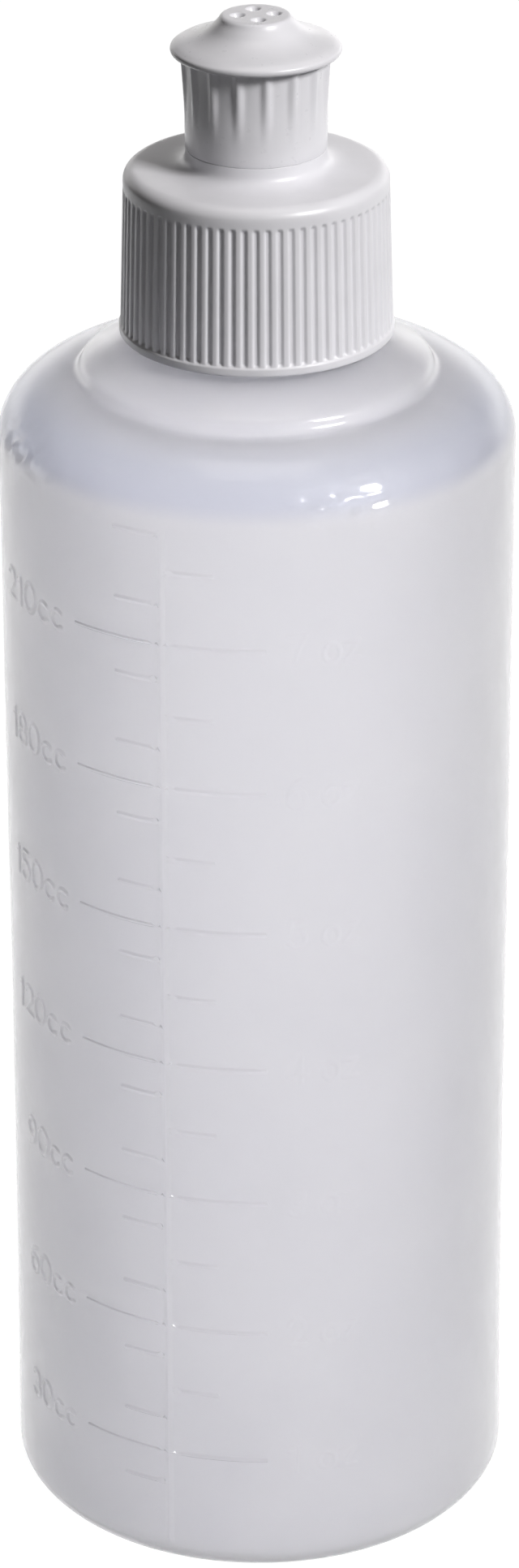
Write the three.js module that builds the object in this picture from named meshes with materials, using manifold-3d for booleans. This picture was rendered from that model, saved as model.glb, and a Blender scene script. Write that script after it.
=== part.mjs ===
// Squeeze bottle with a screw cap and a push-pull spray spout, for rinsing with warm water after a birth.
// Millimetres, +Z up along the bottle's axis, origin at the centre of the plane it stands on, -Y is the front.
// Angles round the axis are counted from the front (-Y), positive towards +X.
import * as THREE from "three";
import { mergeVertices } from "three/addons/utils/BufferGeometryUtils.js";
import Module from "manifold-3d";

// ---------------------------------------------------------------- driving dimensions
const BODY_R = 25.7; // nominal outside radius of the body
const BODY_MID_Z = 59.2; // height of the narrowest part of the slight waist
const BODY_HALF_Z = 60; // half the straight length
const WAIST = 0.18; // how far the sides are drawn in halfway up
const TAPER = 0.163; // the body is this much wider at the heel than halfway, and narrower at the top
const HEEL_R = 2.3; // rounding between the side and the base
const STAND_R = 20.2; // inside edge of the flat ring the bottle stands on
const PUSH_UP = 1.7; // rise of the base's middle
const WALL = 0.9; // blown wall
const SHOULDER_Z = 117; // where the straight side ends
const NECK_R = 10.9; // outside of the neck between its threads
const NECK_TOP_Z = 142.9;
const NECK_BORE_R = 9.9;
const PARTING_DEG = -21.2; // the mould's parting plane
const BOTTLE_SIDES = 64;

const SCALE_STEP = 15.2; // one division of the moulded scale
const SCALE_FOUR_Z = 59.2; // height of the fourth division
const SCALE_RAISED = 0.16; // how far the marks stand out of the wall
const SCALE_THICK = 0.36; // height of one mark

const CAP_Z = 128.25; // bottom of the cap's rim
const CAP_H = 16.35; // rim to deck
const CAP_BORE_R = 12.2;
const RIBS = 72;
const RIB_LOW = 0.65; // ribs start above the plain rim
const RIB_HIGH = 14.45; // and end under the plain band
const CAP_R_LOW = 13.33; // over the ribs at the rim
const CAP_R_HIGH = 12.9; // over the ribs at the band
const RIB_DEEP = 0.42;
const DECK = 1.4; // thickness of the cap's top
const CAP_SIDES = 40;

const SEAT_Z = 18.35; // seat of the spout, over the cap's rim
const TOWER_R = 5.0;
const TOWER_BORE_R = 3.85;
const TOWER_TOP = 24.85;
const BEAD_R = 5.45; // stop bead round the tower
const PLUG_R = 2.3;
const PLUG_TOP = 28.5;
const SPOKES = 3;

const SPOUT_GAP = 0.3; // seam between the closed spout and its seat
const SPOUT_BORE_R = 5.75;
const SPOUT_BEAD_R = 5.3; // bead inside the spout's foot, stopped by the tower's bead
const FLUTES = 16;
const FLUTE_AT = 8.4; // angle of one ridge between two flutes
const FLUTE_DEEP = 0.36;
const THROAT_R = 2.6;
const FLANGE_R = 8.22;
const HOLE_R = 0.65; // four spray holes in a cross
const HOLE_AT_R = 1.75;
const HOLE_TURN = 8.3;

// ---------------------------------------------------------------- helpers
const wasm = await Module();
wasm.setup();
const rad = THREE.MathUtils.degToRad;

// A closed geometry as a solid, with its faces turned outwards.
function solid(geometry) {
  const g = geometry.clone();
  for (const name of Object.keys(g.attributes))
    if (name !== "position") g.deleteAttribute(name);
  const merged = mergeVertices(g, 1e-4);
  const p = merged.attributes.position.array;
  const all = merged.index.array;
  const kept = [];
  let six = 0;
  for (let i = 0; i < all.length; i += 3) {
    const [a, b, c] = [all[i], all[i + 1], all[i + 2]];
    if (a === b || b === c || c === a) continue;
    kept.push(a, b, c);
    const [A, B, C] = [3 * a, 3 * b, 3 * c];
    six +=
      p[A] * (p[B + 1] * p[C + 2] - p[B + 2] * p[C + 1]) +
      p[A + 1] * (p[B + 2] * p[C] - p[B] * p[C + 2]) +
      p[A + 2] * (p[B] * p[C + 1] - p[B + 1] * p[C]);
  }
  if (six < 0)
    for (let i = 0; i < kept.length; i += 3)
      [kept[i + 1], kept[i + 2]] = [kept[i + 2], kept[i + 1]];
  return new wasm.Manifold(
    new wasm.Mesh({
      numProp: 3,
      vertProperties: new Float32Array(p),
      triVerts: new Uint32Array(kept),
    }),
  );
}

function geometryOf(manifold) {
  const m = manifold.getMesh();
  const xyz = new Float32Array(m.numVert * 3);
  for (let i = 0; i < m.numVert; i++)
    for (let k = 0; k < 3; k++)
      xyz[3 * i + k] = m.vertProperties[i * m.numProp + k];
  const g = new THREE.BufferGeometry()
    .setAttribute("position", new THREE.BufferAttribute(xyz, 3))
    .setIndex(new THREE.BufferAttribute(new Uint32Array(m.triVerts), 1));
  const flat = g.toNonIndexed();
  flat.computeVertexNormals();
  return flat;
}

// Turns a profile of [radius, height] pairs about +Z; startDeg is the angle of the first corner.
function turned(profile, sides, startDeg = 0) {
  return new THREE.LatheGeometry(
    profile.map(([r, z]) => new THREE.Vector2(r, z)),
    sides,
    rad(startDeg),
    2 * Math.PI,
  ).rotateX(Math.PI / 2);
}

// A quarter-ellipse of corner points from one end to the other, both ends included.
function arc(cx, cz, rx, rz, fromDeg, toDeg, steps) {
  return Array.from({ length: steps + 1 }, (_, i) => {
    const a = rad(fromDeg + ((toDeg - fromDeg) * i) / steps);
    return [cx + rx * Math.cos(a), cz + rz * Math.sin(a)];
  });
}

function bodyR(z) {
  const u = (z - BODY_MID_Z) / BODY_HALF_Z;
  return BODY_R - WAIST * (1 - u * u) - TAPER * u;
}

// ---------------------------------------------------------------- bottle: one blown piece
function bottleSolid() {
  const heelR = bodyR(HEEL_R);
  const outside = [
    [0, PUSH_UP],
    [14, PUSH_UP - 0.55],
    [STAND_R, 0],
    ...arc(heelR - HEEL_R, HEEL_R, HEEL_R, HEEL_R, -90, 0, 3),
    [bodyR(BODY_MID_Z), BODY_MID_Z],
    [bodyR(SHOULDER_Z), SHOULDER_Z],
    [25.3, 118.6],
    [24.65, 120.2],
    [23.2, 121.8],
    [21.2, 122.9],
    [18.2, 123.65],
    [17.45, 124.15],
    [16.95, 125.05],
    [16.4, 125.35],
    [13.4, 127.0],
    [11.5, 127.55],
    [NECK_R, 128.1],
    [NECK_R, NECK_TOP_Z - 0.3],
    [NECK_R - 0.3, NECK_TOP_Z],
  ];
  const inside = [
    [NECK_BORE_R + 0.2, NECK_TOP_Z],
    [NECK_BORE_R, NECK_TOP_Z - 0.3],
    [NECK_BORE_R, 127.2],
    [10.6, 126.5],
    [13.0, 126.1],
    [16.1, 124.4],
    [17.3, 122.95],
    [20.9, 122.0],
    [22.6, 121.0],
    [24.0, 119.5],
    [bodyR(SHOULDER_Z) - WALL, SHOULDER_Z - 0.4],
    [bodyR(BODY_MID_Z) - WALL, BODY_MID_Z],
    ...arc(heelR - HEEL_R, HEEL_R + 0.2, HEEL_R - WALL, HEEL_R - WALL, 0, -90, 2),
    [19.6, WALL + 0.35],
    [13.5, PUSH_UP + WALL - 0.5],
    [0, PUSH_UP + WALL],
  ];
  return solid(turned([...outside, ...inside], BOTTLE_SIDES, PARTING_DEG));
}

// One raised mark of the scale: a bar that follows the wall between two of its corners.
function mark(z, fromStep, toStep) {
  const step = 360 / BOTTLE_SIDES;
  const shape = new THREE.Shape();
  const at = (k, r) => {
    const a = rad(PARTING_DEG + k * step);
    return [r * Math.sin(a), -r * Math.cos(a)];
  };
  const outer = bodyR(z) + SCALE_RAISED;
  const inner = bodyR(z) - 0.35;
  shape.moveTo(...at(fromStep, outer));
  for (let k = fromStep + 1; k <= toStep; k++) shape.lineTo(...at(k, outer));
  for (let k = toStep; k >= fromStep; k--) shape.lineTo(...at(k, inner));
  shape.closePath();
  return solid(
    new THREE.ExtrudeGeometry(shape, {
      depth: SCALE_THICK,
      bevelEnabled: false,
      steps: 1,
    }).translate(0, 0, z - SCALE_THICK / 2),
  );
}

let bottle = bottleSolid();
for (let n = 1; n <= 7; n++)
  bottle = bottle.add(mark(SCALE_FOUR_Z + (n - 4) * SCALE_STEP, -4, 4));
// Finer marks on either side of the parting line: 5 cc apart to the left, half ounces to the right.
for (let n = 0; n <= 7; n++) {
  const z = SCALE_FOUR_Z + (n - 4) * SCALE_STEP;
  for (const part of n > 0 ? [0.27, 0.75] : [0.75])
    bottle = bottle.add(mark(z + part * SCALE_STEP, -2, 0));
  if (n > 0) bottle = bottle.add(mark(z + 0.5 * SCALE_STEP, 0, 2));
}

// ---------------------------------------------------------------- cap: one moulded piece
function capSolid() {
  const inner = CAP_H - DECK;
  const root = (z) =>
    CAP_R_LOW - RIB_DEEP + ((CAP_R_HIGH - CAP_R_LOW) * z) / RIB_HIGH;
  const shell = solid(
    turned(
      [
        [CAP_BORE_R, 0],
        [13.3, 0],
        [13.45, 0.18],
        [13.45, 0.6],
        [13.2, RIB_LOW],
        [root(RIB_LOW), RIB_LOW + 0.1],
        [root(RIB_HIGH), RIB_HIGH],
        [CAP_R_HIGH, RIB_HIGH + 0.35],
        ...arc(CAP_R_HIGH - 1.35, CAP_H - 1.3, 1.35, 1.3, 0, 90, 3),
        [9.6, CAP_H + 0.04],
        [8.2, CAP_H + 0.4],
        [7.35, CAP_H + 1.1],
        [6.95, SEAT_Z - 0.15],
        [6.8, SEAT_Z],
        [TOWER_R, SEAT_Z],
        [TOWER_R, TOWER_TOP - 1.1],
        [BEAD_R, TOWER_TOP - 0.75],
        [BEAD_R, TOWER_TOP - 0.4],
        [TOWER_R, TOWER_TOP],
        [TOWER_BORE_R, TOWER_TOP],
        [TOWER_BORE_R, inner],
        [8.8, inner],
        [8.85, inner - 1.9],
        [9.3, inner - 2.1],
        [9.6, inner - 1.6],
        [9.6, inner],
        [CAP_BORE_R, inner],
        [CAP_BORE_R, 0],
      ],
      CAP_SIDES,
    ),
  );
  // The grip: a ring whose outline runs in and out once for each rib, drawn in slightly towards the top.
  const outline = new THREE.Shape();
  for (let i = 0; i < 2 * RIBS; i++) {
    const a = (Math.PI * i) / RIBS;
    const r = CAP_R_LOW - (i % 2 ? RIB_DEEP : 0);
    const p = [r * Math.sin(a), -r * Math.cos(a)];
    if (i) outline.lineTo(...p);
    else outline.moveTo(...p);
  }
  outline.closePath();
  const hole = new THREE.Path();
  hole.absarc(0, 0, CAP_BORE_R + 0.16, 0, 2 * Math.PI, true);
  outline.holes.push(hole);
  const ring = new THREE.ExtrudeGeometry(outline, {
    depth: RIB_HIGH - RIB_LOW + 0.1,
    bevelEnabled: false,
    steps: 1,
    curveSegments: 12,
  }).translate(0, 0, RIB_LOW - 0.1);
  const p = ring.attributes.position;
  for (let i = 0; i < p.count; i++) {
    const x = p.getX(i);
    const y = p.getY(i);
    const r = Math.hypot(x, y);
    if (r < CAP_BORE_R + 0.3) continue;
    const k = 1 + ((CAP_R_HIGH - CAP_R_LOW) * p.getZ(i)) / RIB_HIGH / r;
    p.setXY(i, x * k, y * k);
  }
  // The plug that shuts the spout stands on spokes, and water passes between them.
  const plug = solid(
    turned(
      [
        [0, TOWER_TOP - 1.3],
        [PLUG_R - 0.2, TOWER_TOP - 1.3],
        [PLUG_R, TOWER_TOP - 1.1],
        [PLUG_R, PLUG_TOP - 0.5],
        [PLUG_R - 0.5, PLUG_TOP],
        [0, PLUG_TOP + 0.1],
      ],
      24,
    ),
  );
  let cap = shell.add(solid(ring)).add(plug);
  for (let i = 0; i < SPOKES; i++) {
    const spoke = new THREE.BoxGeometry(TOWER_BORE_R - PLUG_R + 1, 1.3, 1.0)
      .translate((TOWER_BORE_R + PLUG_R) / 2, 0, TOWER_TOP - 0.6)
      .rotateZ((2 * Math.PI * i) / SPOKES + Math.PI / 2);
    cap = cap.add(solid(spoke));
  }
  return cap;
}

// ---------------------------------------------------------------- spout: one moulded piece
function spoutSolid() {
  const sides = 3 * FLUTES;
  const profile = [
    [SPOUT_BORE_R, 0],
    [6.72, 0],
    [6.84, 0.15],
    [6.9, 2.4],
    [7.08, 6.0],
    [7.3, 8.95],
    [7.85, 9.08],
    [8.14, 9.35],
    [FLANGE_R, 9.75],
    [8.0, 10.15],
    [7.4, 10.45],
    [6.0, 10.7],
    [4.7, 11.2],
    [3.8, 11.9],
    [3.48, 12.4],
    [3.2, 12.72],
    [2.7, 12.8],
    [0, 12.8],
    [0, 11.7],
    [THROAT_R, 11.6],
    [THROAT_R, 8.5],
    [THROAT_R + 0.2, 8.3],
    [5.5, 8.3],
    [SPOUT_BORE_R, 8.0],
    [SPOUT_BORE_R, 1.3],
    [SPOUT_BEAD_R, 0.95],
    [SPOUT_BEAD_R, 0.5],
    [SPOUT_BORE_R, 0.15],
    [SPOUT_BORE_R, 0],
  ];
  const g = turned(profile, sides, FLUTE_AT);
  // Flutes: the outside is hollowed between ridges, deepest under the flange and dying out near the foot.
  const p = g.attributes.position;
  for (let i = 0; i < p.count; i++) {
    const x = p.getX(i);
    const y = p.getY(i);
    const z = p.getZ(i);
    const r = Math.hypot(x, y);
    if (r < 6.6 || r > 7.45 || z > 9) continue;
    const turn = THREE.MathUtils.radToDeg(Math.atan2(x, -y)) - FLUTE_AT;
    const k = Math.round((turn * sides) / 360);
    if (((k % 3) + 3) % 3 === 0) continue;
    const deep = FLUTE_DEEP * THREE.MathUtils.smoothstep(z, 1.5, 7.5);
    p.setXY(i, (x * (r - deep)) / r, (y * (r - deep)) / r);
  }
  let spout = solid(g);
  for (let i = 0; i < 4; i++) {
    const a = rad(HOLE_TURN + 90 * i);
    spout = spout.subtract(
      solid(
        new THREE.CylinderGeometry(HOLE_R, HOLE_R, 3, 12)
          .rotateX(Math.PI / 2)
          .translate(HOLE_AT_R * Math.cos(a), HOLE_AT_R * Math.sin(a), 12.4),
      ),
    );
  }
  return spout;
}

// ---------------------------------------------------------------- the object
function piece(name, made, material) {
  const mesh = new THREE.Mesh(geometryOf(made), material);
  mesh.name = name;
  return mesh;
}

const object = new THREE.Group();
object.add(
  piece(
    "bottle",
    bottle,
    new THREE.MeshStandardMaterial({
      color: 0xdcdde1,
      roughness: 0.32,
      metalness: 0,
      transparent: true,
      opacity: 0.6,
    }),
  ),
);

const closure = new THREE.Group();
closure.position.z = CAP_Z;
closure.add(
  piece(
    "cap",
    capSolid(),
    new THREE.MeshStandardMaterial({
      color: 0xe9e9ea,
      roughness: 0.24,
      metalness: 0,
    }),
  ),
);
const spoutPlace = new THREE.Group();
spoutPlace.position.z = SEAT_Z + SPOUT_GAP;
spoutPlace.add(
  piece(
    "spout",
    spoutSolid(),
    new THREE.MeshStandardMaterial({
      color: 0xececee,
      roughness: 0.22,
      metalness: 0,
    }),
  ),
);
closure.add(spoutPlace);
object.add(closure);

export default object;
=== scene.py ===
import math

import bmesh
import bpy
import numpy as np
from mathutils import Matrix, Vector
from mathutils.geometry import delaunay_2d_cdt


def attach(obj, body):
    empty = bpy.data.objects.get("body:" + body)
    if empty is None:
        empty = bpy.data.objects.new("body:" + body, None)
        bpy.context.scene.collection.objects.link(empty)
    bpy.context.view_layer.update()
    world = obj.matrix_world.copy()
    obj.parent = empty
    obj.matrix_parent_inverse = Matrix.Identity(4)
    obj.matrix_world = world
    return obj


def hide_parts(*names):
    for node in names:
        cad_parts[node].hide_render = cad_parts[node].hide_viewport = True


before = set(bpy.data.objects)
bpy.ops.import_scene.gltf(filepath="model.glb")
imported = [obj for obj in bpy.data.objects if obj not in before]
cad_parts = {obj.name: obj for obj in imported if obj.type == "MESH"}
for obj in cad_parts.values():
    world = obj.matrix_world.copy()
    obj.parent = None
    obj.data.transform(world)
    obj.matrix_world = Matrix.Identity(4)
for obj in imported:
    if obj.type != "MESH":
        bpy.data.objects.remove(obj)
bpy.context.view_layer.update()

# Lengths below are in millimetres and turned into metres when a mesh is made.
# Angles round the axis are counted from the front (-Y), positive towards +X.
MM = 0.001
SEED = 7

# ---------------------------------------------------------------- camera
PITCH = 0.45458
DISTANCE = 535.886
AIM_Z = 78.374
FOCAL_PX = 6494.23
ROLL = -0.00275


def make_camera():
    cam = bpy.data.cameras.new("camera")
    cam.sensor_fit = "AUTO"
    cam.sensor_width = 36.0
    cam.sensor_height = 36.0
    cam.lens = FOCAL_PX * 36.0 / 1932.0
    cam.clip_start = 0.01
    cam.clip_end = 50.0
    ob = bpy.data.objects.new("camera", cam)
    bpy.context.scene.collection.objects.link(ob)
    c, s = math.cos(PITCH), math.sin(PITCH)
    ahead = Vector((0, c, -s))
    right = Vector((1, 0, 0))
    up = Vector((0, s, c))
    cr, sr = math.cos(ROLL), math.sin(ROLL)
    r2 = cr * right + sr * up
    u2 = -sr * right + cr * up
    m = Matrix((r2, u2, -ahead)).transposed().to_4x4()
    m.translation = Vector((0.139, -DISTANCE * c, AIM_Z + DISTANCE * s)) * MM
    ob.matrix_world = m
    bpy.context.scene.camera = ob


make_camera()


# ---------------------------------------------------------------- mesh helpers
def smooth(a, b, x):
    t = np.clip((np.asarray(x, float) - a) / (b - a), 0.0, 1.0)
    return t * t * (3 - 2 * t)


def bezier(p0, p1, p2, p3, n, last=True):
    t = np.linspace(0, 1, n + 1)[:, None]
    p0, p1, p2, p3 = (np.array(p, float) for p in (p0, p1, p2, p3))
    b = (1 - t) ** 3 * p0 + 3 * (1 - t) ** 2 * t * p1 + 3 * (1 - t) * t * t * p2 + t**3 * p3
    return [tuple(p) for p in (b if last else b[:-1])]


def arc(cx, cz, rx, rz, a0, a1, n, last=True):
    a = np.radians(np.linspace(a0, a1, n + 1))
    pts = [(cx + rx * math.cos(v), cz + rz * math.sin(v)) for v in a]
    return pts if last else pts[:-1]


def line(p0, p1, n, last=True):
    t = np.linspace(0, 1, n + 1)
    pts = [(p0[0] + (p1[0] - p0[0]) * v, p0[1] + (p1[1] - p0[1]) * v) for v in t]
    return pts if last else pts[:-1]


class Builder:
    """Collects rings of points and the faces between them."""

    def __init__(self):
        self.v = []
        self.f = []
        self.n = 0

    def add(self, pts):
        pts = np.asarray(pts, float)
        start = self.n
        self.v.append(pts)
        self.n += len(pts)
        return np.arange(start, self.n)

    def ring(self, r, z, cols, phase=0.0, rfun=None):
        """A ring of corners; r and z may be arrays over the columns."""
        a = phase + 2 * np.pi * np.arange(cols) / cols
        r = np.broadcast_to(np.asarray(r, float), (cols,))
        z = np.broadcast_to(np.asarray(z, float), (cols,))
        if rfun is not None:
            r, z = rfun(a, r, z)
        return self.add(np.stack([r * np.sin(a), -r * np.cos(a), z], 1))

    def bridge(self, a, b):
        """Quads between two rings of as many corners, or triangles where b has half or a third as many."""
        na, nb = len(a), len(b)
        if na == nb:
            for i in range(na):
                j = (i + 1) % na
                self.f.append((a[i], a[j], b[j], b[i]))
            return
        if na < nb:
            k = nb // na
            assert k * na == nb
            for i in range(na):
                j = (i + 1) % na
                for m in range(k):
                    self.f.append((a[i], b[(i * k + m + 1) % nb], b[i * k + m]))
                self.f.append((a[i], a[j], b[((i + 1) * k) % nb]))
            return
        k = na // nb
        assert k * nb == na
        for i in range(nb):
            j = (i + 1) % nb
            for m in range(k):
                self.f.append((a[i * k + m], a[(i * k + m + 1) % na], b[i]))
            self.f.append((a[((i + 1) * k) % na], b[j], b[i]))

    def cap_centre(self, ring, z):
        c = self.add([[0, 0, z]])[0]
        for i in range(len(ring)):
            self.f.append((ring[i], ring[(i + 1) % len(ring)], c))

    def sweep(self, profile, cols, phase=0.0, rfun=None, first=None, closed=False):
        """Rings along a profile, bridged one to the next. Returns the first and the last ring."""
        prev, start = first, first
        for r, z in profile:
            ring = self.ring(r, z, cols, phase, rfun)
            if prev is not None:
                self.bridge(prev, ring)
            else:
                start = ring
            prev = ring
        if closed:
            self.bridge(prev, start)
        return start, prev

    def make(self, name, merge=2e-7, sharp=40):
        v = np.concatenate(self.v) * MM
        me = bpy.data.meshes.new(name)
        me.from_pydata(v.tolist(), [], [tuple(int(i) for i in f) for f in self.f])
        bm = bmesh.new()
        bm.from_mesh(me)
        bmesh.ops.remove_doubles(bm, verts=bm.verts, dist=merge)
        bmesh.ops.recalc_face_normals(bm, faces=bm.faces)
        if bm.calc_volume(signed=True) < 0:
            bmesh.ops.reverse_faces(bm, faces=bm.faces)
        for f in bm.faces:
            f.smooth = True
        bm.to_mesh(me)
        bm.free()
        me.set_sharp_from_angle(angle=math.radians(sharp))
        ob = bpy.data.objects.new(name, me)
        bpy.context.scene.collection.objects.link(ob)
        return ob


def wave(seed, size, count=24):
    """A smooth random field over space, made of a few seeded waves: about -1 to 1, features about size millimetres."""
    rng = np.random.default_rng(seed)
    k = rng.normal(size=(count, 3))
    k /= np.linalg.norm(k, axis=1)[:, None]
    k *= (2 * np.pi / size) * rng.uniform(0.6, 1.5, (count, 1))
    ph = rng.uniform(0, 2 * np.pi, count)

    def f(x, y, z):
        s = 0.0
        for (a, b, c), p in zip(k, ph):
            s = s + np.sin(a * x + b * y + c * z + p)
        return s / math.sqrt(count / 2) / 1.6

    return f


# ---------------------------------------------------------------- bottle
BODY_R, WALL = 25.7, 0.9
PART = math.radians(-21.2)
NC = 256
HEEL = 2.3
SIDE_LOW, SIDE_TOP = 2.3, 117.0
NECK_R, NECK_TOP, NECK_BORE = 10.9, 142.9, 9.9
PITCH_MM = 3.175
THREAD_LOW, THREAD_HIGH = 134.2, 140.6


def body_r(z):
    u = (np.asarray(z, float) - 59.2) / 60.0
    return BODY_R - 0.18 * (1 - u * u) - 0.163 * u


def wrap(a):
    return (a + np.pi) % (2 * np.pi) - np.pi


low_wave = wave(SEED, 34.0)
mid_wave = wave(SEED + 1, 9.0)
fine_wave = wave(SEED + 2, 2.6, 40)
finer_wave = wave(SEED + 3, 1.3, 40)


def blown(a, r, z):
    """The unevenness of a blown wall, on top of a true profile: a slow wander."""
    x, y = r * np.sin(a), -r * np.cos(a)
    wander = 0.05 * low_wave(x, y, z) + 0.012 * mid_wave(x, y, z)
    side = smooth(14, 20, r) * smooth(1.0, 12.0, z)
    return r + wander * side, z


def creased(a, r, z):
    """Creases where the wall was thinnest when it met the mould: short patches along the corner of the shoulder."""
    x, y = r * np.sin(a), -r * np.cos(a)
    band = np.exp(-(((z - 119.0) / 1.7) ** 2))
    where = np.clip(
        np.exp(-((wrap(a - math.radians(21)) / 0.22) ** 2))
        + np.exp(-((wrap(a + math.radians(66)) / 0.22) ** 2))
        + 0.35 * np.exp(-((wrap(a - math.radians(118)) / 0.3) ** 2))
        + 0.25 * np.exp(-((wrap(a - math.radians(-150)) / 0.3) ** 2)),
        0,
        1,
    )
    bump = 0.45 * fine_wave(x, y, 1.1 * z) + 1.0 * finer_wave(x, y, 0.8 * z)
    bump = np.sign(bump) * np.abs(bump) ** 0.8
    return r + 0.2 * band * where * bump, z + 0.12 * band * where * bump


def skin(a, r, z):
    r, z = creased(a, r, z)
    return blown(a, r, z)


# The moulded scale: raised strokes, given in the unrolled wall (u along the girth, z up).
U = 25.62  # radius that turns an angle into a length along the girth
RAISED = 0.16
STEP, FOUR_Z = 15.2, 59.2


def ellipse_stroke(cx, cy, rx, ry, a0, a1, n=18):
    a = np.radians(np.linspace(a0, a1, n))
    return [(cx + rx * math.cos(v), cy + ry * math.sin(v)) for v in a]


GLYPHS = {
    "0": (0.64, [ellipse_stroke(0.32, 0.5, 0.32, 0.5, 0, 360, 26)]),
    "1": (0.40, [[(0.28, 0.0), (0.28, 1.0), (0.06, 0.80)]]),
    "2": (0.62, [ellipse_stroke(0.31, 0.70, 0.29, 0.30, 165, -35, 14) + [(0.02, 0.0), (0.62, 0.0)]]),
    "3": (0.62, [ellipse_stroke(0.30, 0.74, 0.27, 0.26, 150, -90, 12), ellipse_stroke(0.30, 0.25, 0.31, 0.25, 90, -150, 12)]),
    "4": (0.66, [[(0.48, 0.0), (0.48, 1.0), (0.0, 0.28), (0.66, 0.28)]]),
    "5": (0.62, [[(0.56, 1.0), (0.12, 1.0), (0.07, 0.55)] + ellipse_stroke(0.30, 0.32, 0.31, 0.32, 115, -150, 14)]),
    "6": (0.62, [ellipse_stroke(0.31, 0.31, 0.30, 0.31, 0, 360, 20), [(0.01, 0.31), (0.06, 0.62), (0.22, 0.88), (0.50, 1.0)]]),
    "7": (0.60, [[(0.0, 1.0), (0.60, 1.0), (0.34, 0.5), (0.22, 0.0)]]),
    "8": (0.62, [ellipse_stroke(0.31, 0.75, 0.25, 0.25, 0, 360, 18), ellipse_stroke(0.31, 0.26, 0.31, 0.26, 0, 360, 20)]),
    "9": (0.62, [ellipse_stroke(0.31, 0.69, 0.30, 0.31, 0, 360, 20), [(0.61, 0.69), (0.56, 0.38), (0.40, 0.12), (0.12, 0.0)]]),
    "c": (0.52, [ellipse_stroke(0.30, 0.32, 0.27, 0.32, 48, 312, 14)]),
    "o": (0.56, [ellipse_stroke(0.28, 0.32, 0.28, 0.32, 0, 360, 20)]),
    "z": (0.50, [[(0.0, 0.64), (0.48, 0.64), (0.0, 0.0), (0.50, 0.0)]]),
    " ": (0.22, []),
}


def label(text, u0, u1, zc, height):
    """Strokes of one label, stretched to run from u0 to u1 and centred on zc."""
    gap = 0.2
    total = sum(GLYPHS[c][0] for c in text) + gap * (len(text) - 1)
    kx = (u1 - u0) / total
    out, x = [], 0.0
    for c in text:
        w, strokes = GLYPHS[c]
        for s in strokes:
            out.append(np.array([(u0 + (x + px) * kx, zc + (py - 0.5) * height) for px, py in s]))
        x += w + gap
    return out


def distance_to(strokes, uu, zz):
    d = np.full(uu.shape, 9.0)
    for s in strokes:
        for (ax, ay), (bx, by) in zip(s[:-1], s[1:]):
            lx, ly = bx - ax, by - ay
            n = lx * lx + ly * ly + 1e-12
            t = np.clip(((uu - ax) * lx + (zz - ay) * ly) / n, 0, 1)
            d = np.minimum(d, np.hypot(uu - ax - t * lx, zz - ay - t * ly))
    return d


def thin(points, gap, taken=None):
    """Drops points closer than gap to one kept before."""
    grid = {} if taken is None else taken
    kept = []
    for p in points:
        k = (int(p[0] // gap), int(p[1] // gap))
        near = False
        for i in (-1, 0, 1):
            for j in (-1, 0, 1):
                for q in grid.get((k[0] + i, k[1] + j), ()):
                    if (p[0] - q[0]) ** 2 + (p[1] - q[1]) ** 2 < gap * gap:
                        near = True
                        break
                if near:
                    break
            if near:
                break
        if not near:
            grid.setdefault(k, []).append(p)
            kept.append(p)
    return kept


def label_points(strokes, half, raised=RAISED):
    """Points along lines of equal distance from the strokes, with the height of each."""
    allp = np.concatenate(strokes)
    lo, hi = allp.min(0) - half - 0.5, allp.max(0) + half + 0.5
    px = 0.045
    uu, zz = np.meshgrid(np.arange(lo[0], hi[0], px), np.arange(lo[1], hi[1], px), indexing="ij")
    d = distance_to(strokes, uu, zz)
    pts = []
    for level, h in ((half - 0.09, raised), (half + 0.09, 0.0), (half, raised * 0.5), (half + 0.2, 0.0)):
        cross = []
        for axis in (0, 1):
            d0 = d[:-1, :] if axis == 0 else d[:, :-1]
            d1 = d[1:, :] if axis == 0 else d[:, 1:]
            i, j = np.nonzero((d0 - level) * (d1 - level) < 0)
            t = (level - d0[i, j]) / (d1[i, j] - d0[i, j])
            cu = uu[i, j] + (px * t if axis == 0 else 0)
            cz = zz[i, j] + (px * t if axis == 1 else 0)
            cross.append(np.stack([cu, cz], 1))
        cross = np.concatenate(cross)
        cross = cross[np.lexsort((cross[:, 1], cross[:, 0]))]
        pts += [(p[0], p[1], h) for p in thin([tuple(c) for c in cross], 0.17)]
    ridge = []
    for s in strokes:
        for a, b in zip(s[:-1], s[1:]):
            n = max(1, int(np.hypot(*(b - a)) / 0.25))
            ridge += [tuple(a + (b - a) * k / n) for k in range(n + 1)]
    pts += [(p[0], p[1], raised) for p in thin(ridge, 0.2)]
    return pts, (lo[0] + 0.25, lo[1] + 0.25, hi[0] - 0.25, hi[1] - 0.25)


def bar_points(z, u0, u1, thick=0.09, slope=0.11, raised=RAISED):
    """Points of a straight mark from u0 to u1, with the height of each, and flat rows round it that keep its shading off the wall."""
    pts = []
    far, near = 0.45, 0.18
    middle = list(np.linspace(u0, u1, max(2, int((u1 - u0) / 0.8)) + 1))
    for u in [u0 - slope - far, u0 - slope - near, u0 - slope, *middle, u1 + slope, u1 + slope + near, u1 + slope + far]:
        inside = u0 - 1e-6 <= u <= u1 + 1e-6
        foot = thick + slope
        rows = [(d, 0.0) for d in (-foot - far, -foot - near, -foot, foot, foot + near, foot + far)]
        rows += [(d, raised if inside else 0.0) for d in (-thick, thick)]
        for dz, h in rows:
            pts.append((u, z + dz, h))
    return pts, (u0 - 0.8, z - 0.8, u1 + 0.8, z + 0.8)


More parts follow.
